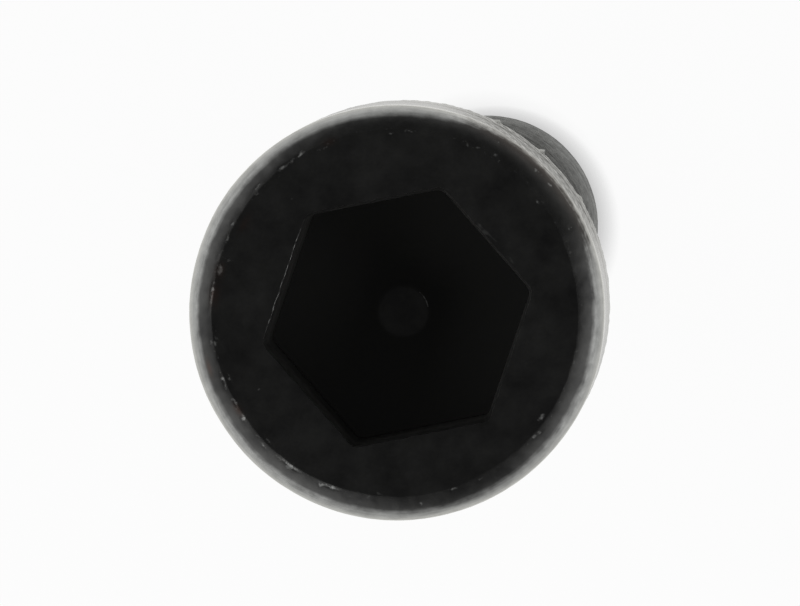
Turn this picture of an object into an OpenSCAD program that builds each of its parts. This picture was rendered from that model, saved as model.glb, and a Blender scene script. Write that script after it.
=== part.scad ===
// M12 x 120 socket head cap screw, forged from one piece of steel.
// It stands on its threaded end: the origin is the centre of the end face, +Z runs up the axis to the head.
// The thread is drawn as a plain cylinder over its crests, down to the chamfered point.

/* [Head] */
// Diameter of the head
head_d = 18; // [17:0.1:24]
// Height of the head, from the bearing face to the top
head_h = 12; // [10:0.1:16]
// Radius of the rounded edge round the top
crown_r = 1.2; // [0.4:0.1:2]
// Width of the chamfer round the bearing face
seat_chamfer = 0.3; // [0.1:0.05:0.8]

/* [Socket] */
// Width across the flats of the hexagon
socket_af = 10.1; // [8:0.05:11]
// Depth at which the full hexagon ends
socket_depth = 6; // [4.5:0.1:7]
// Width of the broken edge round the mouth
mouth_chamfer = 0.13; // [0.05:0.01:0.4]
// Fall of the conical bottom towards the axis, in degrees
bottom_slope = 12; // [3:1:25]
// Diameter of the round mark that the punch leaves at the bottom
punch_mark_d = 2.2; // [1:0.1:4]
// Depth of the punch mark
punch_mark_depth = 0.15; // [0.05:0.05:0.5]

/* [Shank] */
// Length from the bearing face to the end
length = 120; // [60:5:200]
// Diameter of the plain shank
shank_d = 12; // [11:0.1:13]
// Radius of the fillet under the head
neck_r = 0.8; // [0.3:0.1:1.5]

/* [Thread] */
// Diameter over the crests
thread_d = 11.85; // [10.6:0.05:12]
// Length of the thread, from the end to the plain shank
thread_l = 36; // [20:1:50]
// Pitch, over which the thread runs out into the plain shank
thread_pitch = 1.75; // [1:0.25:2]
// Diameter of the flat face at the end
end_d = 9.6; // [8:0.1:10.4]
// Angle of the end's chamfer to the axis
end_angle = 45; // [30:1:60]

/* [Hidden] */
$fn = 96;

seat_z = length;             // bearing face
top_z = seat_z + head_h;     // top of the head
head_r = head_d / 2;
shank_r = shank_d / 2;
thread_r = thread_d / 2;
end_r = end_d / 2;
end_h = (thread_r - end_r) / tan(end_angle);
overcut = 1;                 // how far a cutter reaches past the face it starts from

// A hexagon's corner radius from its width across the flats
function corner_r(af) = af / sqrt(3);

punch_mark_r = punch_mark_d / 2;
bottom_z = -socket_depth - (corner_r(socket_af) - punch_mark_r) * tan(bottom_slope);

// Half section of the head, with the bearing face at y = 0
module head_profile() {
    crown_x = head_r - crown_r;
    crown_y = head_h - crown_r;
    polygon([
        [0, 0],
        [head_r - seat_chamfer, 0],
        [head_r, seat_chamfer],
        [head_r, crown_y],
        [crown_x, crown_y],
        [crown_x, head_h],
        [0, head_h]
    ]);
    intersection() {
        translate([crown_x, crown_y]) circle(crown_r);
        translate([crown_x, crown_y]) square(crown_r);
    }
}

// Half section of the fillet between the shank and the bearing face, which is at y = 0
module neck_profile() {
    difference() {
        translate([0, -neck_r]) square([shank_r + neck_r, neck_r]);
        translate([shank_r + neck_r, -neck_r]) circle(neck_r);
    }
}

// Half section of the shank: chamfered point, thread, run-out and plain shank
module shank_profile() {
    polygon([
        [0, 0],
        [end_r, 0],
        [thread_r, end_h],
        [thread_r, thread_l - thread_pitch],
        [shank_r, thread_l],
        [shank_r, seat_z - neck_r],
        [0, seat_z - neck_r]
    ]);
}

// The round blank, turned from its half section
module blank() {
    rotate_extrude() {
        shank_profile();
        translate([0, seat_z]) neck_profile();
        translate([0, seat_z]) head_profile();
    }
}

// The punch's nose: a cylinder over the hexagon's corners that ends in a shallow cone
module punch_nose() {
    nose_r = corner_r(socket_af);
    rotate_extrude()
        polygon([
            [0, bottom_z],
            [punch_mark_r, bottom_z],
            [nose_r, -socket_depth],
            [nose_r + overcut, -socket_depth],
            [nose_r + overcut, overcut],
            [0, overcut]
        ]);
}

// The hexagon socket as a solid, with its mouth at z = 0
module socket_cutter() {
    intersection() {
        translate([0, 0, bottom_z])
            cylinder(h = overcut - bottom_z, r = corner_r(socket_af), $fn = 6);
        punch_nose();
    }
    translate([0, 0, -mouth_chamfer])
        cylinder(
            h = 2 * mouth_chamfer,
            r1 = corner_r(socket_af),
            r2 = corner_r(socket_af + 4 * mouth_chamfer),
            $fn = 6
        );
    translate([0, 0, bottom_z - punch_mark_depth])
        cylinder(h = overcut, r = punch_mark_r);
}

module cap_screw() {
    color("#2b2b2a")
        difference() {
            blank();
            translate([0, 0, top_z]) socket_cutter();
        }
}

cap_screw();
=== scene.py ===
"""A black oxide socket head cap screw that stands on its threaded end, seen from above its head.

The forged head, the plain shank and the rolled thread are one closed surface: a stack of rings that runs
from the middle of the socket's bottom, out over the head and down the shank to the middle of the end face.
Sizes are in millimetres until the mesh is made. Angles round the screw are in the frame: 0 is +X, 90 is +Y.
"""
import math

import bpy
import numpy as np
from mathutils import Matrix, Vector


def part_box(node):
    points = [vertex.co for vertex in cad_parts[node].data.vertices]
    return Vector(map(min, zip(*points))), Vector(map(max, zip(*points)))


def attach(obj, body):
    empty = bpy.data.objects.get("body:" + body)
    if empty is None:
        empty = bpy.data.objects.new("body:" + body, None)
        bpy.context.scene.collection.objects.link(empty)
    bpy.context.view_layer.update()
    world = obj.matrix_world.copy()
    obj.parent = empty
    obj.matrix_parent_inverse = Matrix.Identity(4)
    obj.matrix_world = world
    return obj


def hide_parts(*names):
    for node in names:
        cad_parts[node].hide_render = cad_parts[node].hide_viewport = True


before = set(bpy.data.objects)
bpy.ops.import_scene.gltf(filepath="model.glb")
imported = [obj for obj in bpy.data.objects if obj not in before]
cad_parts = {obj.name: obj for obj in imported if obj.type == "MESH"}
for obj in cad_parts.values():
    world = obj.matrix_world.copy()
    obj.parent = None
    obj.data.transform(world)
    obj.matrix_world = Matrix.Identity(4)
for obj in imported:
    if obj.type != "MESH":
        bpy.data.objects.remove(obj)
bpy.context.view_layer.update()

# ---------------------------------------------------------------- sizes

MM = 0.001
low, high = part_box("cap_screw")
HEAD_R = (high.x - low.x) / 2 / MM
TOP_Z = high.z / MM
HEAD_H = 12.0
SEAT_Z = TOP_Z - HEAD_H
SEAT_CHAMFER = 0.3       # round the bearing face
CROWN_KINK = math.radians(16)   # slope at which the rounded edge of the head starts
FACE_EDGE = 7.92         # of the flat, from its middle
FACE_EDGE_DIP = 0.1      # by which the flat is narrower towards +X
FACE_SHIFT = 0.05        # of the flat's middle from the axis, towards +Y
FACE_SLOW_RIPPLE = 0.02  # unevenness of the flat's edge, 2 to 8 times round
FACE_QUICK_RIPPLE = 0.01    # the same, 12 to 79 times round
FORGED_SLOW = 0.006      # unevenness that the forging left on the rounded edge and the side
FORGED_QUICK = 0.002     # the same, finer
FORGED_LOSS = 1.5        # how far both lie under the full size, as a multiple of FORGED_SLOW
FLANK_LINE_Z = 123.8     # faint line that the die left round the side
FLANK_LINE_DEPTH = 0.04
FLANK_LINE_WIDTH = 0.4
SEAT_EDGE_RIPPLE = 0.012    # unevenness round the edge of the bearing face
SEAT_EDGE_WIDTH = 0.4

SOCKET_HALF = 5.05       # from the axis to a flat of the hexagon
SOCKET_DEPTH = 6.0       # where the full hexagon ends
SOCKET_SHIFT = (0.04, -0.16)    # the forged socket sits a little off the axis
SHIFT_REACH = 7.2        # distance from the axis at which the shift has faded out
MOUTH_HALF = 5.18        # the walls flare to this at the mouth
MOUTH_FLARE = 1.2        # depth over which they flare
MOUTH_EDGE = 0.005       # roundness of the mouth's edge
WORN_MOUTH_EDGE = 0.02   # the same on the worn flat, which faces 150 degrees
MOUTH_RIPPLE = 0.012     # unevenness of the mouth's sides
MOUTH_SINK = 0.015       # the face dips by this towards the mouth
MOUTH_SINK_WIDTH = 0.35
BOTTOM_SLOPE = math.radians(12)
PUNCH_MARK_R = 1.1
PUNCH_MARK_DEPTH = 0.015
PUNCH_MARK_EASE = 0.06   # width of the punch mark's edge
SOCKET_CORNER = SOCKET_HALF / math.cos(math.pi / 6)
BOTTOM_Z = TOP_Z - SOCKET_DEPTH - (SOCKET_CORNER - PUNCH_MARK_R) * math.tan(BOTTOM_SLOPE)

SHANK_R = 6.0
NECK_R = 0.8             # fillet under the head
THREAD_R = 5.925         # over the crests
THREAD_L = 36.0
PITCH = 1.75
THREAD_DEPTH = 1.07
END_R = 4.8              # flat of the end face
END_EASE = 0.08          # soft edge of the end face

HEAD_COLUMNS = 480       # points round each ring of the head, 80 to a flat of the hexagon
SHANK_COLUMNS = 80
ROWS_PER_PITCH = 18
CROWN_ROWS = 32
HEAD_ANGLE = np.arange(HEAD_COLUMNS) * 2 * math.pi / HEAD_COLUMNS
SHANK_ANGLE = np.arange(SHANK_COLUMNS) * 2 * math.pi / SHANK_COLUMNS

# The largest nicks and scuffs, where the oxide is chipped:
# angle in degrees, distance from the axis, half length, half width, strength
NICKS = np.array([
    (162, 8.0, 0.4, 0.06, 0.7),
    (155, 7.8, 0.2, 0.1, 0.9),
    (151, 7.6, 0.1, 0.2, 0.8),
    (121, 6.7, 0.1, 0.06, 0.7),
    (116, 8.0, 0.2, 0.06, 0.9),
    (110, 8.0, 0.2, 0.06, 0.9),
    (52, 8.0, 0.12, 0.05, 0.5),
    (47, 8.15, 0.06, 0.16, 0.9),
    (45, 8.0, 0.04, 0.1, 0.6),
    (27, 7.8, 0.1, 0.06, 0.7),
    (21, 6.8, 0.15, 0.1, 0.8),
    (15, 8.4, 0.08, 0.12, 0.8),
    (313, 7.7, 0.2, 0.1, 1.0),
    (310, 6.4, 0.07, 0.07, 0.9),
    (266, 8.3, 0.1, 0.1, 0.6),
    (238, 8.0, 0.25, 0.06, 0.8),
    (235, 8.1, 0.1, 0.1, 0.7),
    (224, 8.0, 0.4, 0.06, 0.8),
    (203, 8.0, 0.1, 0.1, 0.9),
    (197, 6.8, 0.07, 0.07, 0.8),
    (190, 7.7, 0.2, 0.06, 0.8),
])
NICK_DEPTH = 0.03

# Small chips, drawn at random:
# how many, mean angle and its spread, mean distance and its spread, top strength
CHIP_GROUPS = (
    (50, 195, 70, FACE_EDGE + 0.05, 0.15, 0.5),
    (24, 33, 13, 8.70, 0.06, 0.3),
)

# Burrs that stick out from the lower edge of the head: angle, length, half width
BURRS = ((52, 0.16, 0.12), (37, 0.26, 0.08), (20, 0.1, 0.15))
BURR_Z = 120.25
BURR_HEIGHT = 0.15

# Brown spots, where a little rust shows through:
# angle, distance from the axis, half length, half width, strength
RUST_SPOTS = np.array([
    (163, 7.85, 0.45, 0.20, 0.6),
    (155, 7.80, 0.35, 0.20, 0.5),
    (138, 7.60, 0.40, 0.15, 0.4),
    (100, 7.95, 0.30, 0.15, 0.5),
    (200, 7.95, 0.30, 0.15, 0.6),
    (185, 8.40, 0.35, 0.10, 0.5),
    (35, 8.95, 4.00, 0.30, 0.30),
])

# One side of the head looks scraped and is painted in shade: the oxide colour reaches further down the
# rounded edge there and its top is painted a darker oxide, both as painted shade. The oxide ends in a ragged
# line, and the side under it is roughened. Direction of its middle and half width, in degrees
SHADED_SCRAPED_SIDE = 34
SHADED_SCRAPED_HALF = 26

# ---------------------------------------------------------------- camera

LENS = 551.0             # long lens, in millimetres on a 36 mm sensor
CAMERA_DISTANCE = 0.5292  # from the shoulder of the head, in metres
CAMERA_LEAN = math.radians(2.97)    # of the line of sight from the screw's axis
LEAN_TURN = math.radians(43.4)      # way that the far end of the screw runs off in the picture
HEX_TURN = math.radians(11.2)       # way that the frame's +X axis points in the picture
AIM_RIGHT = 0.00014      # picture's middle from the middle of the head's shoulder, in metres
AIM_UP = 0.00043
SHOULDER_Z = TOP_Z - 1.2    # where the rounded edge of the head ends, about


def make_camera():
    """Camera above the head. Its back vector leans from the axis towards LEAN_TURN, and its right and up
    vectors turn the picture so that the frame's +X axis lies at HEX_TURN."""
    lean_azimuth = LEAN_TURN - HEX_TURN
    outward = np.array([math.cos(lean_azimuth), math.sin(lean_azimuth), 0.0])
    axis = np.array([0.0, 0.0, 1.0])
    back = axis * math.cos(CAMERA_LEAN) + outward * math.sin(CAMERA_LEAN)
    along = outward * math.cos(CAMERA_LEAN) - axis * math.sin(CAMERA_LEAN)
    across = np.cross(back, along)
    right = along * math.cos(LEAN_TURN) - across * math.sin(LEAN_TURN)
    up = along * math.sin(LEAN_TURN) + across * math.cos(LEAN_TURN)
    aim = axis * SHOULDER_Z * MM + right * AIM_RIGHT + up * AIM_UP
    place = aim + back * CAMERA_DISTANCE

    data = bpy.data.cameras.new("camera")
    data.lens = LENS
    data.sensor_width = 36
    data.clip_start = 0.05
    data.clip_end = 20
    camera = bpy.data.objects.new("camera", data)
    bpy.context.scene.collection.objects.link(camera)
    columns = np.stack([right, up, back, place], axis=1)
    camera.matrix_world = Matrix(np.vstack([columns, [0, 0, 0, 1]]).tolist())
    bpy.context.scene.camera = camera


# ---------------------------------------------------------------- shape of the head

def smooth(value, start, end):
    """0 before start, 1 after end, and 3 t^2 - 2 t^3 between them."""
    t = np.clip((value - start) / (end - start), 0, 1)
    return t * t * (3 - 2 * t)


def between(start, end, share):
    """Rings between two rings: radius and height are start + share (end - start), for each share."""
    share = np.asarray(share)[:, None]
    return [a + share * (b - a) for a, b in zip(start, end)]


def hexagon(half_width):
    """Distance from the axis to the side of a hexagon with soft corners: half_width over a soft maximum of
    the cosines of the angles to its six flats, which is log(sum(exp(60 cosine))) / 60."""
    sharpness = 60
    flats = math.pi / 6 + np.arange(6)[:, None] * math.pi / 3
    nearest = np.log(np.exp(sharpness * (np.cos(HEAD_ANGLE - flats) - 1)).sum(axis=0)) / sharpness + 1
    return half_width / nearest


def mouth_outline():
    """Distance from the socket's axis to its mouth: a hexagon whose sides are a little uneven."""
    still = np.zeros(HEAD_COLUMNS)
    return hexagon(MOUTH_HALF) + MOUTH_RIPPLE * unevenness(HEAD_ANGLE, still, 20, (5, 45), 0, 9)


def gaussian_spots(spots, angle, radius):
    """Sum over the spots of strength times exp(-d^2). d^2 is the sum of two squares: the distance round the
    circle over the half length, and the distance outwards over the half width."""
    total = np.zeros(radius.shape)
    for spot_angle, spot_radius, half_length, half_width, strength in spots:
        turn = (angle - math.radians(spot_angle) + math.pi) % (2 * math.pi) - math.pi
        d2 = (turn * spot_radius / half_length) ** 2 + ((radius - spot_radius) / half_width) ** 2
        total += strength * np.exp(-d2)
    return total


def unevenness(angle, along, waves, turns, across, seed):
    """Smooth unevenness of about -1 to 1: a sum of plane waves. Each has a whole number of periods round the
    screw between the two in turns, up to `across` periods to a millimetre along the profile, and its own
    phase."""
    draw = np.random.default_rng(seed)
    total = np.zeros(along.shape)
    for _ in range(waves):
        slope = draw.uniform(-across, across)
        total += np.cos(draw.integers(*turns) * angle + 2 * math.pi * (slope * along + draw.random()))
    return total / math.sqrt(waves)


def small_chips():
    """Small chips as rows of the same five numbers as in NICKS. Their angles and distances are drawn from
    bell curves, and their sizes and strengths evenly between two limits."""
    draw = np.random.default_rng(5)
    groups = []
    for count, angle, angle_spread, distance, distance_spread, strongest in CHIP_GROUPS:
        groups.append(np.stack([
            draw.normal(angle, angle_spread, count),
            draw.normal(distance, distance_spread, count),
            draw.uniform(0.08, 0.25, count),
            draw.uniform(0.04, 0.08, count),
            draw.uniform(0.1, strongest, count),
        ], axis=-1))
    return np.vstack(groups)


def flat_edge():
    """Distance from the axis to the edge of the flat: FACE_EDGE, less the dip, which is a bell curve 20
    degrees wide round +X, plus FACE_SHIFT times the sine of the angle, plus a slow and a quick ripple."""
    from_x = (HEAD_ANGLE + math.pi) % (2 * math.pi) - math.pi
    edge = FACE_EDGE - FACE_EDGE_DIP * np.exp(-(from_x / math.radians(20)) ** 2)
    edge = edge + FACE_SHIFT * np.sin(HEAD_ANGLE)
    still = np.zeros(HEAD_COLUMNS)
    edge = edge + FACE_SLOW_RIPPLE * unevenness(HEAD_ANGLE, still, 6, (2, 9), 0, 6)
    return edge + FACE_QUICK_RIPPLE * unevenness(HEAD_ANGLE, still, 30, (12, 80), 0, 8)


def worn_mouth(angle):
    """1 on the worn flat of the mouth, which faces 150 degrees, and 0 on the others. It falls smoothly
    between 18 and 29 degrees from the middle of that flat."""
    away = np.abs(np.degrees(angle) - 150)
    return 1 - smooth(away, 18, 29)


def mouth_edge():
    """Roundness of the mouth's edge at each angle, larger on the worn flat."""
    return MOUTH_EDGE + (WORN_MOUTH_EDGE - MOUTH_EDGE) * worn_mouth(HEAD_ANGLE)


def socket_rings():
    """Rings of the socket: punch mark, conical bottom, flat walls that flare a little, and the mouth's edge.
    The walls are hexagons. The height of the conical bottom grows with the distance from the axis, the flare
    with the square of the height, and the edge is a quarter circle."""
    wall = hexagon(SOCKET_HALF)
    mouth = mouth_outline()
    wall_foot = BOTTOM_Z + (wall - PUNCH_MARK_R) * math.tan(BOTTOM_SLOPE)
    mark_z = BOTTOM_Z - PUNCH_MARK_DEPTH
    mark = (PUNCH_MARK_R - PUNCH_MARK_EASE, mark_z)
    flare = np.linspace(0, 1, 7)[:, None]
    edge = mouth_edge()
    turn = np.linspace(0, math.pi / 2, 5)[:, None]
    top = TOP_Z - MOUTH_SINK
    bottom_shares = np.concatenate([[0, 0.01], np.linspace(0.03, 1, 9)])
    return [
        between((0.0, mark_z), mark, np.linspace(0, 1, 5)),
        between(mark, (PUNCH_MARK_R, BOTTOM_Z), np.linspace(0, 1, 4)),
        between((PUNCH_MARK_R, BOTTOM_Z), (wall, wall_foot), bottom_shares),
        between((wall, wall_foot), (wall, TOP_Z - MOUTH_FLARE), np.linspace(0, 1, 7)),
        [wall + (mouth - wall) * flare ** 2, TOP_Z - MOUTH_FLARE + (MOUTH_FLARE - MOUTH_SINK - edge) * flare],
        [mouth + edge * (1 - np.cos(turn)), top - edge * (1 - np.sin(turn))],
    ]


def face_rings():
    """Rings of the flat: from the mouth, which is a hexagon, to the round edge of the flat, closer together
    towards that edge. Near the mouth the height falls by MOUTH_SINK (1 - distance / MOUTH_SINK_WIDTH)^2."""
    mouth = mouth_outline() + mouth_edge()
    edge = flat_edge()
    rough = edge - 0.5
    radii = np.vstack([
        between((mouth, 0), (rough, 0), np.linspace(0, 1, 10) ** 1.5)[0],
        between((rough, 0), (edge, 0), np.linspace(0, 1, 15))[0],
    ])
    near = np.clip(1 - (radii - mouth) / MOUTH_SINK_WIDTH, 0, 1)
    return [[radii, TOP_Z - MOUTH_SINK * near ** 2]]


def crown_rings():
    """Rings of the rounded edge and of the side under it. The edge is an arc from the slope CROWN_KINK at the
    edge of the flat to the upright side, so its radius is (HEAD_R - edge) / (1 - sin CROWN_KINK) at each
    angle. The side's rings are closer together at the line that the die left."""
    size = (HEAD_R - flat_edge()) / (1 - math.sin(CROWN_KINK))
    slope = CROWN_KINK + (math.pi / 2 - CROWN_KINK) * (np.linspace(0, 1, CROWN_ROWS)[:, None] ** 1.15)
    radii = HEAD_R - size * (1 - np.sin(slope))
    heights = TOP_Z - size * (math.cos(CROWN_KINK) - np.cos(slope))
    shoulder = (HEAD_R, TOP_Z - size * math.cos(CROWN_KINK))
    above, below = (HEAD_R, FLANK_LINE_Z + 0.9), (HEAD_R, FLANK_LINE_Z - 0.9)
    chamfer = (HEAD_R, SEAT_Z + SEAT_CHAMFER)
    return [
        [radii, heights],
        between(shoulder, above, np.linspace(0, 1, 8)),
        between(above, below, np.linspace(0, 1, 9)),
        between(below, chamfer, np.linspace(0, 1, 14)),
        between(chamfer, (HEAD_R - SEAT_CHAMFER, SEAT_Z), np.linspace(0, 1, 4)),
    ]


def seat_rings():
    """Rings of the bearing face and of the fillet under it, which is a quarter circle."""
    turn = np.linspace(0, math.pi / 2, 7)[:, None]
    return [
        between((HEAD_R - SEAT_CHAMFER, SEAT_Z), (SHANK_R + NECK_R, SEAT_Z), np.linspace(0, 1, 4)),
        [SHANK_R + NECK_R * (1 - np.sin(turn)), SEAT_Z - NECK_R * (1 - np.cos(turn))],
    ]


# ---------------------------------------------------------------- shape of the shank

def thread_radius(height):
    """Radius of the right-hand thread. The distance along the axis from the nearest crest comes from height /
    pitch - angle / full turn. From the flat of the crest, an eighth of the pitch wide, the flanks fall at 60
    degrees to each other, and the root is rounded, by a soft maximum and a soft minimum. The thread fades out
    before the plain shank, and the end's chamfer cuts what lies outside its cone."""
    turns = height / PITCH - SHANK_ANGLE / (2 * math.pi)
    from_crest = np.abs(turns - np.round(turns)) * PITCH
    sharpness = 16
    fall = (from_crest - PITCH / 16) / math.tan(math.pi / 6)
    fall = np.logaddexp(0, sharpness * fall) / sharpness
    fall = -np.logaddexp(-sharpness * fall, -sharpness * THREAD_DEPTH) / sharpness
    fade = 1 - smooth(height, THREAD_L - 1.5 * PITCH, THREAD_L)
    crest = SHANK_R + (THREAD_R - SHANK_R) * fade
    return np.minimum(crest - np.maximum(fall, 0) * fade, END_R + height)


def shank_rings():
    """Rings of the plain shank, the thread and the end face."""
    rows = round((THREAD_L - END_EASE) / PITCH * ROWS_PER_PITCH)
    thread_z = np.linspace(THREAD_L, END_EASE, rows)[:, None] + np.zeros(SHANK_COLUMNS)
    return [
        between((SHANK_R, SEAT_Z - NECK_R - 0.3), (SHANK_R, THREAD_L), np.linspace(0, 1, 12)),
        [thread_radius(thread_z), thread_z],
        between((END_R, 0.0), (0.0, 0.0), np.linspace(0, 1, 6)),
    ]


# ---------------------------------------------------------------- the closed surface

def stack(stretches, columns):
    """One array of radii and one of heights from all the stretches. A ring that repeats the last one is left
    out."""
    radii = np.vstack([np.broadcast_to(r, (len(r), columns)) for r, z in stretches])
    heights = np.vstack([np.broadcast_to(z, (len(z), columns)) for r, z in stretches])
    step = np.hypot(np.diff(radii, axis=0), np.diff(heights, axis=0)).max(axis=1)
    keep = np.concatenate([[True], step > 1e-6])
    return radii[keep], heights[keep]


def forging_marks(angle, heights, along, fade, outside):
    """How far the forging and the burrs move each point along the profile's normal. It is a slow and a quick
    unevenness times fade, plus an unevenness in a bell curve round the edge of the bearing face, less a bell
    curve round the die's line, plus a bell-shaped bump for each burr."""
    move = fade * FORGED_SLOW * (unevenness(angle, along, 24, (3, 16), 0.6, 3) - FORGED_LOSS)
    move += fade * FORGED_QUICK * unevenness(angle, along, 40, (20, 110), 2.5, 4)
    seat_edge = outside * np.exp(-((heights - SEAT_Z - SEAT_CHAMFER) / SEAT_EDGE_WIDTH) ** 2)
    move += seat_edge * SEAT_EDGE_RIPPLE * unevenness(angle, along, 40, (20, 160), 1.0, 12)
    move -= outside * FLANK_LINE_DEPTH * np.exp(-((heights - FLANK_LINE_Z) / FLANK_LINE_WIDTH) ** 2)
    for burr_angle, length, half_width in BURRS:
        turn = np.degrees(angle) - burr_angle
        away = (np.radians(turn) * HEAD_R / half_width) ** 2 + ((heights - BURR_Z) / BURR_HEIGHT) ** 2
        move += outside * length * np.exp(-away)
    return move


def head_surface():
    """Points of the head, and its wear. The forging and the nicks move each point along the profile's normal,
    which is the profile's own direction turned a quarter turn outwards. The socket is then shifted as a
    whole, and the face round it by a share that falls to 0 at SHIFT_REACH. The oxide is broken in the nicks,
    in a band at the edge of the flat and on the worn mouth, and a glint of bare steel is painted on part of
    the punch mark's edge as a painted highlight."""
    socket_r, socket_z = stack(socket_rings(), HEAD_COLUMNS)
    outer_r, outer_z = stack(face_rings() + crown_rings() + seat_rings(), HEAD_COLUMNS)
    rows = len(socket_r)
    radii = np.vstack([socket_r, outer_r])
    heights = np.vstack([socket_z, outer_z])
    angle = np.broadcast_to(HEAD_ANGLE, radii.shape)

    dr = np.gradient(radii, axis=0)
    dz = np.gradient(heights, axis=0)
    size = np.hypot(dr, dz) + 1e-9
    normal_r, normal_z = -dz / size, dr / size
    along = np.cumsum(size, axis=0)
    along = along - along[rows + len(face_rings()[0][0]) + CROWN_ROWS - 2]

    outside = np.ones(radii.shape)
    outside[:rows] = 0
    on_top = outside * smooth(heights, TOP_Z - 2.5, TOP_Z - 1.5)
    chips_and_glint = gaussian_spots(np.vstack([NICKS, small_chips()]), angle, radii)
    # the middle of the face is even, the rounded edge has the forging's whole unevenness
    fade = 0.4 * smooth(radii, 6.2, 7.2) + 0.6 * smooth(radii, 7.8, 8.1)
    fade = fade * outside * smooth(heights, SEAT_Z + 0.4, SEAT_Z + 1.0)
    move = forging_marks(angle, heights, along, fade, outside) - on_top * NICK_DEPTH * chips_and_glint
    radii = radii + normal_r * move
    heights = heights + normal_z * move

    mouth = mouth_outline()
    shift = np.clip((SHIFT_REACH - radii) / (SHIFT_REACH - mouth), 0, 1) * outside
    shift[:rows] = 1
    x = radii * np.cos(angle) + SOCKET_SHIFT[0] * shift
    y = radii * np.sin(angle) + SOCKET_SHIFT[1] * shift

    mouth_line = np.zeros(radii.shape)
    mouth_line[rows - 4:rows] = 1
    slope = np.degrees(np.arccos(np.clip(normal_z, -1, 1)))
    wear = head_wear(angle, radii, heights, slope, along, outside, on_top)
    # painted highlight: a thin glint of bare steel on the punch mark's edge, towards 10 degrees
    painted_glint_arc = 0.8 * np.exp(-((radii - PUNCH_MARK_R) / 0.03) ** 2 - ((np.degrees(angle) - 10) / 35) ** 2)
    flat_band = 0.2 * np.exp(-((radii - FACE_EDGE - 0.05) / 0.2) ** 2) * on_top
    chips_and_glint = chips_and_glint * on_top + flat_band + painted_glint_arc * (1 - outside) + mouth_line * worn_mouth(angle)
    wear["chips_and_glint"] = np.clip(chips_and_glint, 0, 1)
    return np.stack([x, y, heights], axis=-1), wear


def head_wear(angle, radii, heights, slope, along, outside, on_top):
    """Wear at each point of the head, with the painted light and shade that go with it. The material reads
    it:
    along       distance along the profile from the lower end of the rounded edge, in millimetres
    rubbed      0 for whole oxide to 1 for bare steel. It grows with the slope over the rounded edge, and is
                higher at the edge of the bearing face and at the mouth. On the scraped, shaded side it starts
                further down the edge, as painted shade, and on the socket's walls it is painted light
    scuffed     1 where the scraped, shaded side's oxide ends in a ragged line
    shelter     0 to 1 for painted shade, a darker and duller oxide: in the socket's bottom, less on the punch
                mark, and on the top of the scraped, shaded side
    roughened   -1 for burnished, as round most of the side, to 1 for matt, as on the scraped, shaded side
    rust        0 to 1, the brown spots"""
    shaded_scraped = np.exp(-((np.degrees(angle) - SHADED_SCRAPED_SIDE) / SHADED_SCRAPED_HALF) ** 4)
    # on the scraped, shaded side bare steel starts further down the rounded edge: painted shade
    wear_and_painted_light = 0.62 * smooth(slope, 30 + 25 * shaded_scraped, 71 + 22 * shaded_scraped)
    upper = smooth(heights, TOP_Z - 3.0, TOP_Z - 1.5)
    wear_and_painted_light = wear_and_painted_light * (0.2 + 0.1 * shaded_scraped + (0.8 - 0.1 * shaded_scraped) * upper)
    wear_and_painted_light = wear_and_painted_light + 0.4 * (1 - smooth(np.abs(heights - SEAT_Z - SEAT_CHAMFER), 0.1, 0.4))
    wear_and_painted_light = wear_and_painted_light + 0.08 * (1 - smooth(radii - mouth_outline(), 0.05, 0.6)) * on_top
    # the socket's walls are painted lighter, 0.42 of the way to bare steel, as painted light
    walls = (1 - outside) * smooth(slope, 60, 80)

    flank = outside * smooth(slope, 76, 86) * (heights > SEAT_Z + SEAT_CHAMFER)
    die_line = np.exp(-((heights - FLANK_LINE_Z) / 0.6) ** 2)
    scrapes = 0.5 * unevenness(angle, along, 40, (20, 160), 0.6, 11)
    # painted shade in the socket's bottom, less on the punch mark, which stays lighter
    bottom = (1 - outside) * smooth(TOP_Z - heights, 5.0, 6.0) * (0.3 + 0.7 * smooth(radii, 1.0, 1.2))
    return {
        "along": along,
        "wear_and_painted_light": wear_and_painted_light * outside + 0.42 * walls,
        "scuffed": shaded_scraped * outside * smooth(heights, TOP_Z - 1.6, TOP_Z - 1.0),
        # painted shade on the top of the scraped, shaded side too
        "painted_shade": bottom + 0.6 * shaded_scraped * on_top * smooth(slope, 16, 30),
        "roughened": flank * (shaded_scraped * (0.2 + 0.8 * die_line + scrapes) - 0.8 * (1 - shaded_scraped)),
        "rust": np.clip(gaussian_spots(RUST_SPOTS, angle, radii) * on_top, 0, 1),
    }


def shank_surface():
    """Points of the shank and thread, and its wear, as head_wear gives it. The whole shank is matt, and
    painted a
    darker oxide as shade, more in the grooves. The crests of the thread are worn, the more the nearer to the
    end:
    partly wear, and partly painted shade that keeps the crests near the head darker."""
    radii, heights = stack(shank_rings(), SHANK_COLUMNS)
    points = np.stack([radii * np.cos(SHANK_ANGLE), radii * np.sin(SHANK_ANGLE), heights], axis=-1)
    threaded = (1 - smooth(heights, THREAD_L - 2 * PITCH, THREAD_L - PITCH)) * (heights > 0)
    groove = threaded * np.clip((THREAD_R - radii) / THREAD_DEPTH, 0, 1)
    # crests near the head keep more oxide: wear towards the end, and painted shade under the head
    end_wear_and_head_shade = 0.9 - 0.55 * smooth(heights, 4, 30)
    wear = {
        "along": SEAT_Z - heights,
        # painted shade: darker, duller oxide over the whole shank, more in the grooves
        "painted_shade": 0.55 + 0.35 * groove,
        "wear_and_painted_light": 0.1 + 0.4 * end_wear_and_head_shade * threaded * (1 - smooth(groove, 0.0, 0.2)),
        "roughened": np.ones(radii.shape),
        "scuffed": np.zeros(radii.shape),
        "chips_and_glint": np.zeros(radii.shape),
        "rust": np.zeros(radii.shape),
    }
    return points, wear


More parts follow.
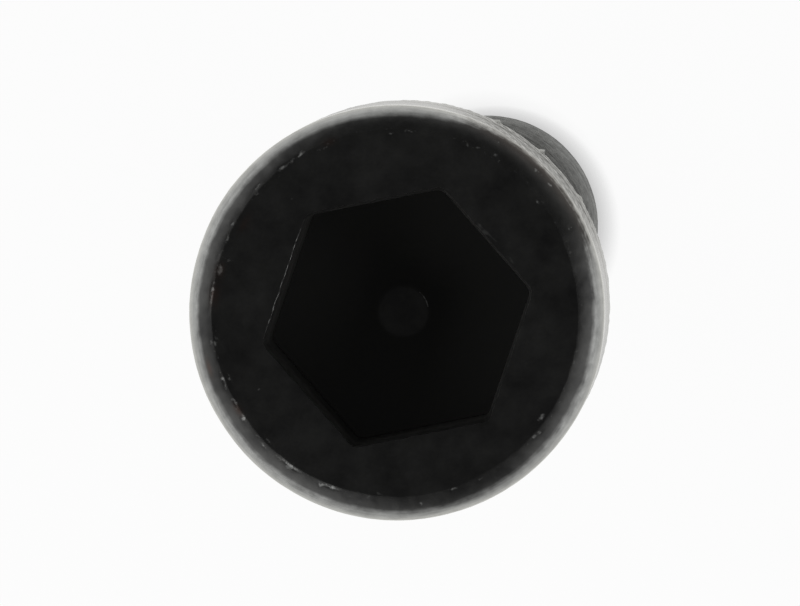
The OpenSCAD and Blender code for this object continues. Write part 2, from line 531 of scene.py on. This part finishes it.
def ring_faces(columns, rows, first):
    """Quads between neighbouring rings of a stack whose first point is number `first`."""
    here = np.arange(columns)
    beside = (here + 1) % columns
    row = first + np.arange(rows - 1)[:, None] * columns
    a, b = row + here, row + beside
    return np.stack([a, a + columns, b + columns, b], axis=-1).reshape(-1, 4)


def joining_faces(first_fine, first_coarse):
    """Triangles from the head's last ring to the shank's first. Each edge of the fine ring goes to the nearer
    point of the coarse one, and one triangle in each group has its edge on the coarse ring."""
    ratio = HEAD_COLUMNS // SHANK_COLUMNS
    fine = np.arange(HEAD_COLUMNS)
    nearer = (fine + ratio // 2) // ratio % SHANK_COLUMNS
    next_fine = (fine + 1) % HEAD_COLUMNS
    edges = np.stack([first_fine + fine, first_coarse + nearer, first_fine + next_fine], axis=-1)
    coarse = np.arange(SHANK_COLUMNS)
    middle = coarse * ratio + ratio // 2
    beside = (coarse + 1) % SHANK_COLUMNS
    wedges = np.stack([first_fine + middle, first_coarse + coarse, first_coarse + beside], axis=-1)
    return np.vstack([edges, wedges])


def screw_mesh(name):
    """The whole screw as one closed surface, in metres. Its first and last rings have shrunk to one point
    each, and a fan of triangles closes each end."""
    head, head_marks = head_surface()
    shank, shank_marks = shank_surface()
    points = np.vstack([head[0, :1], head[1:].reshape(-1, 3), shank[:-1].reshape(-1, 3), shank[-1, :1]]) * MM
    head_rows, shank_rows = len(head) - 1, len(shank) - 1
    shank_first = 1 + head_rows * HEAD_COLUMNS
    last = len(points) - 1
    here, beside = np.arange(HEAD_COLUMNS), (np.arange(HEAD_COLUMNS) + 1) % HEAD_COLUMNS
    start_fan = np.stack([np.zeros_like(here), 1 + here, 1 + beside], axis=-1)
    here, beside = np.arange(SHANK_COLUMNS), (np.arange(SHANK_COLUMNS) + 1) % SHANK_COLUMNS
    foot = last - SHANK_COLUMNS
    end_fan = np.stack([np.full_like(here, last), foot + beside, foot + here], axis=-1)
    faces = [
        start_fan,
        ring_faces(HEAD_COLUMNS, head_rows, 1),
        joining_faces(shank_first - HEAD_COLUMNS, shank_first),
        ring_faces(SHANK_COLUMNS, shank_rows, shank_first),
        end_fan,
    ]

    mesh = bpy.data.meshes.new(name)
    mesh.from_pydata(points.tolist(), [], [face for group in faces for face in group.tolist()])
    mesh.update()
    for key in head_marks:
        upper, lower = head_marks[key], shank_marks[key]
        values = np.concatenate([upper[0, :1], upper[1:].ravel(), lower[:-1].ravel(), lower[-1, :1]])
        mesh.attributes.new(key, "FLOAT", "POINT").data.foreach_set("value", values.astype(np.float32))
    mesh.shade_smooth()
    mesh.set_sharp_from_angle(angle=math.radians(40))
    piece = bpy.data.objects.new(name, mesh)
    bpy.context.scene.collection.objects.link(piece)
    return piece


# ---------------------------------------------------------------- materials

# Patterns of the steel's surface, as spots or lines to a millimetre
DRAG_LINES = 0.5         # lines that the die left, 2 mm long round the screw
DRAG_SQUEEZE = 10.0      # and this many times closer along the profile, which is 0.2 mm apart
DRAG_BANDS = 0.06        # runs of such lines, 17 mm long and 1.7 mm high
SCUFFS = 2.2             # 0.5 mm across
MOTTLE = 0.7             # clouds in the oxide, 1.4 mm across
FLECKS = 5.0             # what is left of the oxide in a chip, 0.2 mm across
GRAIN = 9.0              # satin grain of about 0.02 mm, drawn 0.1 mm across so that it shows
DRAG_RELIEF = 0.01       # height of the lines and the grain, in millimetres


def linear(hex_colour):
    """An sRGB hex colour as linear red, green, blue and alpha."""
    levels = [int(hex_colour[i:i + 2], 16) / 255 for i in (1, 3, 5)]
    return [v / 12.92 if v <= 0.04045 else ((v + 0.055) / 1.055) ** 2.4 for v in levels] + [1.0]


def node(tree, kind, inputs=None, **settings):
    """Add a node. inputs gives each socket, by name or number, a value or the socket that feeds it. On a
    colour Mix node, sockets 6 and 7 are the two colours and output 2 is the mixed one."""
    made = tree.nodes.new(kind)
    for setting, value in settings.items():
        setattr(made, setting, value)
    for socket, value in (inputs or {}).items():
        if isinstance(value, bpy.types.NodeSocket):
            tree.links.new(value, made.inputs[socket])
        else:
            made.inputs[socket].default_value = value
    return made


def black_oxide_steel():
    """Black oxide on cold-forged alloy steel: a thin, oiled skin of magnetite, which gives a dark satin
    metal. It has worn down to grey steel round the head's edge and on the crests of the thread, and is broken
    in the nicks. Painted light and shade ride on the same masks: the socket's walls are painted lighter, a
    glint of bare steel is painted on part of the punch mark's edge, and a darker, duller oxide is painted as
    shade in the socket's bottom, over the shank and in its grooves, and on one side of the head, whose
    rounded edge also keeps more oxide. The thread's crests near the head keep more oxide as painted shade
    too. In a few places a little rust tints it brown."""
    material = bpy.data.materials.new("black_oxide_steel")
    material.use_nodes = True
    tree = material.node_tree
    tree.nodes.clear()
    place = node(tree, "ShaderNodeTexCoord").outputs["Object"]
    in_mm = node(tree, "ShaderNodeVectorMath", {0: place, "Scale": 1 / MM}, operation="SCALE").outputs[0]
    along = node(tree, "ShaderNodeAttribute", attribute_name="along").outputs["Fac"]
    wear_and_painted_light = node(tree, "ShaderNodeAttribute", attribute_name="wear_and_painted_light").outputs["Fac"]
    scuffed = node(tree, "ShaderNodeAttribute", attribute_name="scuffed").outputs["Fac"]
    chips_and_glint = node(tree, "ShaderNodeAttribute", attribute_name="chips_and_glint").outputs["Fac"]
    painted_shade = node(tree, "ShaderNodeAttribute", attribute_name="painted_shade").outputs["Fac"]
    roughened = node(tree, "ShaderNodeAttribute", attribute_name="roughened").outputs["Fac"]
    rust = node(tree, "ShaderNodeAttribute", attribute_name="rust").outputs["Fac"]

    # drag lines lie on a cylinder as wide as the head, whose height is the distance along the profile
    parts = node(tree, "ShaderNodeSeparateXYZ", {0: in_mm}).outputs
    flat = node(tree, "ShaderNodeCombineXYZ", {"X": parts["X"], "Y": parts["Y"]}).outputs[0]
    way = node(tree, "ShaderNodeVectorMath", {0: flat}, operation="NORMALIZE").outputs[0]
    way = node(tree, "ShaderNodeVectorMath", {0: way, "Scale": HEAD_R}, operation="SCALE").outputs[0]
    lift = node(tree, "ShaderNodeMath", {0: along, 1: DRAG_SQUEEZE}, operation="MULTIPLY").outputs[0]
    lift = node(tree, "ShaderNodeCombineXYZ", {"Z": lift}).outputs[0]
    drag = node(tree, "ShaderNodeVectorMath", {0: way, 1: lift}, operation="ADD").outputs[0]
    lines = node(tree, "ShaderNodeTexNoise", {"Vector": drag, "Scale": DRAG_LINES, "Detail": 3.0}).outputs[0]
    bands = node(tree, "ShaderNodeTexNoise", {"Vector": drag, "Scale": DRAG_BANDS, "Detail": 2.0}).outputs[0]
    scuffs = node(tree, "ShaderNodeTexNoise", {"Vector": in_mm, "Scale": SCUFFS, "Detail": 5.0}).outputs[0]
    mottle = node(tree, "ShaderNodeTexNoise", {"Vector": in_mm, "Scale": MOTTLE, "Detail": 4.0}).outputs[0]
    flecks = node(tree, "ShaderNodeTexNoise", {"Vector": in_mm, "Scale": FLECKS, "Detail": 3.0}).outputs[0]
    grain = node(tree, "ShaderNodeTexNoise", {"Vector": in_mm, "Scale": GRAIN, "Detail": 3.0}).outputs[0]

    # the oxide is cloudy, and darker where shade is painted
    clouds = node(tree, "ShaderNodeMath", {0: scuffs, 1: 0.4, 2: mottle}, operation="MULTIPLY_ADD").outputs[0]
    clouds = node(tree, "ShaderNodeMapRange", {"Value": clouds, "From Min": 0.4, "From Max": 1.0}).outputs[0]
    oxide = node(tree, "ShaderNodeMix", {
        0: clouds,
        6: linear("#323232"),
        7: linear("#4a4a49"),
    }, data_type="RGBA").outputs[2]
    # painted shade: a darker oxide in the socket's bottom, over the shank and on one side of the head
    oxide = node(tree, "ShaderNodeMix", {
        0: painted_shade,
        6: oxide,
        7: linear("#30302f"),
    }, data_type="RGBA").outputs[2]

    # rubbing is uneven, by a noise about 0 that counts where there is some, and more where it is scuffed
    noise = node(tree, "ShaderNodeMath", {0: lines, 1: 0.5, 2: -0.675}, operation="MULTIPLY_ADD").outputs[0]
    noise = node(tree, "ShaderNodeMath", {0: scuffs, 1: 0.5, 2: noise}, operation="MULTIPLY_ADD").outputs[0]
    noise = node(tree, "ShaderNodeMath", {0: bands, 1: 0.35, 2: noise}, operation="MULTIPLY_ADD").outputs[0]
    where = node(tree, "ShaderNodeMapRange", {"Value": wear_and_painted_light, "From Max": 0.3}).outputs[0]
    more = node(tree, "ShaderNodeMath", {0: scuffed, 1: 3.3, 2: 0.7}, operation="MULTIPLY_ADD").outputs[0]
    where = node(tree, "ShaderNodeMath", {0: where, 1: more}, operation="MULTIPLY").outputs[0]
    wear = node(tree, "ShaderNodeMath", {0: noise, 1: where, 2: wear_and_painted_light}, operation="MULTIPLY_ADD").outputs[0]
    wear = node(tree, "ShaderNodeMapRange", {"Value": wear, "From Min": 0.1, "From Max": 0.95}).outputs[0]

    # chips, and the painted glint on the punch mark's edge, are broken up by flecks, and show half of the
    # bare steel
    bare = node(tree, "ShaderNodeMath", {0: flecks, 1: 4.0, 2: -1.4}, operation="MULTIPLY_ADD").outputs[0]
    bare = node(tree, "ShaderNodeMath", {0: chips_and_glint, 1: bare}, operation="MULTIPLY").outputs[0]
    bare = node(tree, "ShaderNodeMapRange", {
        "Value": bare,
        "From Min": 0.2,
        "From Max": 0.8,
        "To Max": 0.5,
    }).outputs[0]
    wear = node(tree, "ShaderNodeMath", {0: wear, 1: bare}, operation="MAXIMUM").outputs[0]
    # bare steel where worn and in the chips, and as painted light on the socket's walls and the punch mark's
    # glint
    colour = node(tree, "ShaderNodeMix", {
        0: wear,
        6: oxide,
        7: linear("#c4c5c3"),
    }, data_type="RGBA").outputs[2]
    colour = node(tree, "ShaderNodeMix", {
        0: rust,
        6: colour,
        7: linear("#4c3d37"),
    }, data_type="RGBA").outputs[2]

    # satin, glossier where it is worn and duller in the chips, under the painted shade and where it is
    # roughened
    rough = node(tree, "ShaderNodeMapRange", {"Value": grain, "To Min": 0.3, "To Max": 0.46}).outputs[0]
    rough = node(tree, "ShaderNodeMath", {0: painted_shade, 1: 0.1, 2: rough}, operation="MULTIPLY_ADD").outputs[0]
    rough = node(tree, "ShaderNodeMath", {0: wear_and_painted_light, 1: -0.1, 2: rough}, operation="MULTIPLY_ADD").outputs[0]
    rough = node(tree, "ShaderNodeMath", {
        0: roughened,
        1: 0.2,
        2: rough,
    }, operation="MULTIPLY_ADD").outputs[0]
    rough = node(tree, "ShaderNodeMath", {0: bare, 1: 0.3, 2: rough}, operation="MULTIPLY_ADD").outputs[0]

    # the lines stand up where the oxide is rubbed, and the grain everywhere
    ridges = node(tree, "ShaderNodeMath", {0: lines, 1: wear_and_painted_light}, operation="MULTIPLY").outputs[0]
    ridges = node(tree, "ShaderNodeMath", {0: ridges, 1: 2.0, 2: grain}, operation="MULTIPLY_ADD").outputs[0]
    bump = node(tree, "ShaderNodeBump", {
        "Height": ridges,
        "Strength": 0.25,
        "Distance": DRAG_RELIEF * MM,
    }).outputs[0]
    shader = node(tree, "ShaderNodeBsdfPrincipled", {
        "Base Color": colour,
        "Metallic": 1.0,
        "Roughness": rough,
        "Specular Tint": linear("#fffef9"),
        "Normal": bump,
    })
    node(tree, "ShaderNodeOutputMaterial", {"Surface": shader.outputs[0]})
    return material


def white_floor():
    """Matt white card. To the camera, to reflections and through glass it is mostly a plain white of
    strength 1, which darkens within CONTACT_SHADOW of the screw's foot. The rest is its own lit surface,
    which keeps the screw's shadow, and to other light it is all lit surface."""
    material = bpy.data.materials.new("white_card")
    material.use_nodes = True
    tree = material.node_tree
    tree.nodes.clear()
    path = node(tree, "ShaderNodeLightPath").outputs
    seen = node(tree, "ShaderNodeMath", {
        0: path["Is Camera Ray"],
        1: path["Is Glossy Ray"],
    }, operation="MAXIMUM").outputs[0]
    seen = node(tree, "ShaderNodeMath", {
        0: seen,
        1: path["Is Transmission Ray"],
    }, operation="MAXIMUM").outputs[0]
    share = node(tree, "ShaderNodeMath", {0: seen, 1: PLAIN_SHARE}, operation="MULTIPLY").outputs[0]
    lit = node(tree, "ShaderNodeBsdfDiffuse", {"Color": linear("#f6f6f6")}).outputs[0]
    near = node(tree, "ShaderNodeAmbientOcclusion", {"Distance": CONTACT_SHADOW}).outputs["Color"]
    plain = node(tree, "ShaderNodeEmission", {"Color": near, "Strength": 1.0}).outputs[0]
    mixed = node(tree, "ShaderNodeMixShader", {0: share, 1: lit, 2: plain}).outputs[0]
    node(tree, "ShaderNodeOutputMaterial", {"Surface": mixed})
    return material


# ---------------------------------------------------------------- floor, world and lamps

FLOOR_X = (-3.0, 5.0)    # in metres. Off centre, so that the line between its triangles isn't near the screw
FLOOR_Y = (-5.0, 3.0)
PLAIN_SHARE = 0.95       # of plain white in the floor, as the camera sees it
CONTACT_SHADOW = 0.002   # reach of the soft shadow at the foot, in metres
TENT_TOP = 0.13          # brightness of the light tent overhead, where white is 1
TENT_FALL = 4.0          # power with which it falls from white at the horizon
LAMP_LEVEL = 1.2         # brightness of a softbox, where white is 1
LAMP_DISTANCE = 0.5      # in metres, as are the sizes
LAMP_HEIGHT = 0.6
LAMP_FOOT = 0.03
SOFTBOXES = {            # way that each stands in, in the frame, and its width
    "softbox_right": (330, 0.58),
    "softbox_left": (154, 0.60),
    "softbox_near": (222, 0.52),
}


def make_floor():
    """Flat square floor under the screw, 8 m wide."""
    mesh = bpy.data.meshes.new("floor")
    corners = [(FLOOR_X[i], FLOOR_Y[j], 0) for i, j in ((0, 0), (1, 0), (1, 1), (0, 1))]
    mesh.from_pydata(corners, [], [(0, 1, 2, 3)])
    floor = bpy.data.objects.new("floor", mesh)
    bpy.context.scene.collection.objects.link(floor)
    floor.data.materials.append(white_floor())


def make_world():
    """White at the height of the horizon and dark overhead, as in a light tent that is open at the top. The
    brightness is TENT_TOP + (1 - TENT_TOP) (1 - sine of the height above the horizon)^TENT_FALL."""
    world = bpy.data.worlds.new("light_tent")
    world.use_nodes = True
    tree = world.node_tree
    tree.nodes.clear()
    way = node(tree, "ShaderNodeTexCoord").outputs["Generated"]
    rise = node(tree, "ShaderNodeSeparateXYZ", {0: way}).outputs["Z"]
    rise = node(tree, "ShaderNodeMath", {0: rise, 1: 0.0}, operation="MAXIMUM").outputs[0]
    fall = node(tree, "ShaderNodeMath", {0: 1.0, 1: rise}, operation="SUBTRACT").outputs[0]
    fall = node(tree, "ShaderNodeMath", {0: fall, 1: TENT_FALL}, operation="POWER").outputs[0]
    level = node(tree, "ShaderNodeMath", {
        0: fall,
        1: 1 - TENT_TOP,
        2: TENT_TOP,
    }, operation="MULTIPLY_ADD").outputs[0]
    light = node(tree, "ShaderNodeBackground", {"Color": (1, 1, 1, 1), "Strength": level})
    node(tree, "ShaderNodeOutputWorld", {"Surface": light.outputs[0]})
    bpy.context.scene.world = world


def make_lamps():
    """Upright softboxes round the screw, which face it. A softbox of area A and level L gives out L pi A
    watts."""
    for name, (azimuth, width) in SOFTBOXES.items():
        azimuth = math.radians(azimuth)
        data = bpy.data.lights.new(name, "AREA")
        data.shape = "RECTANGLE"
        data.size = width
        data.size_y = LAMP_HEIGHT
        data.energy = LAMP_LEVEL * math.pi * width * LAMP_HEIGHT
        lamp = bpy.data.objects.new(name, data)
        lamp.location = (
            LAMP_DISTANCE * math.cos(azimuth),
            LAMP_DISTANCE * math.sin(azimuth),
            LAMP_FOOT + LAMP_HEIGHT / 2,
        )
        lamp.rotation_euler = (math.pi / 2, 0, azimuth + math.pi / 2)
        lamp.visible_camera = False
        bpy.context.scene.collection.objects.link(lamp)


# ---------------------------------------------------------------- the scene

make_camera()
make_floor()
make_world()
make_lamps()

screw = screw_mesh("cap_screw_surface")
screw.data.materials.append(black_oxide_steel())
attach(screw, "root")
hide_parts("cap_screw")

bpy.context.scene.view_settings.view_transform = "Standard"
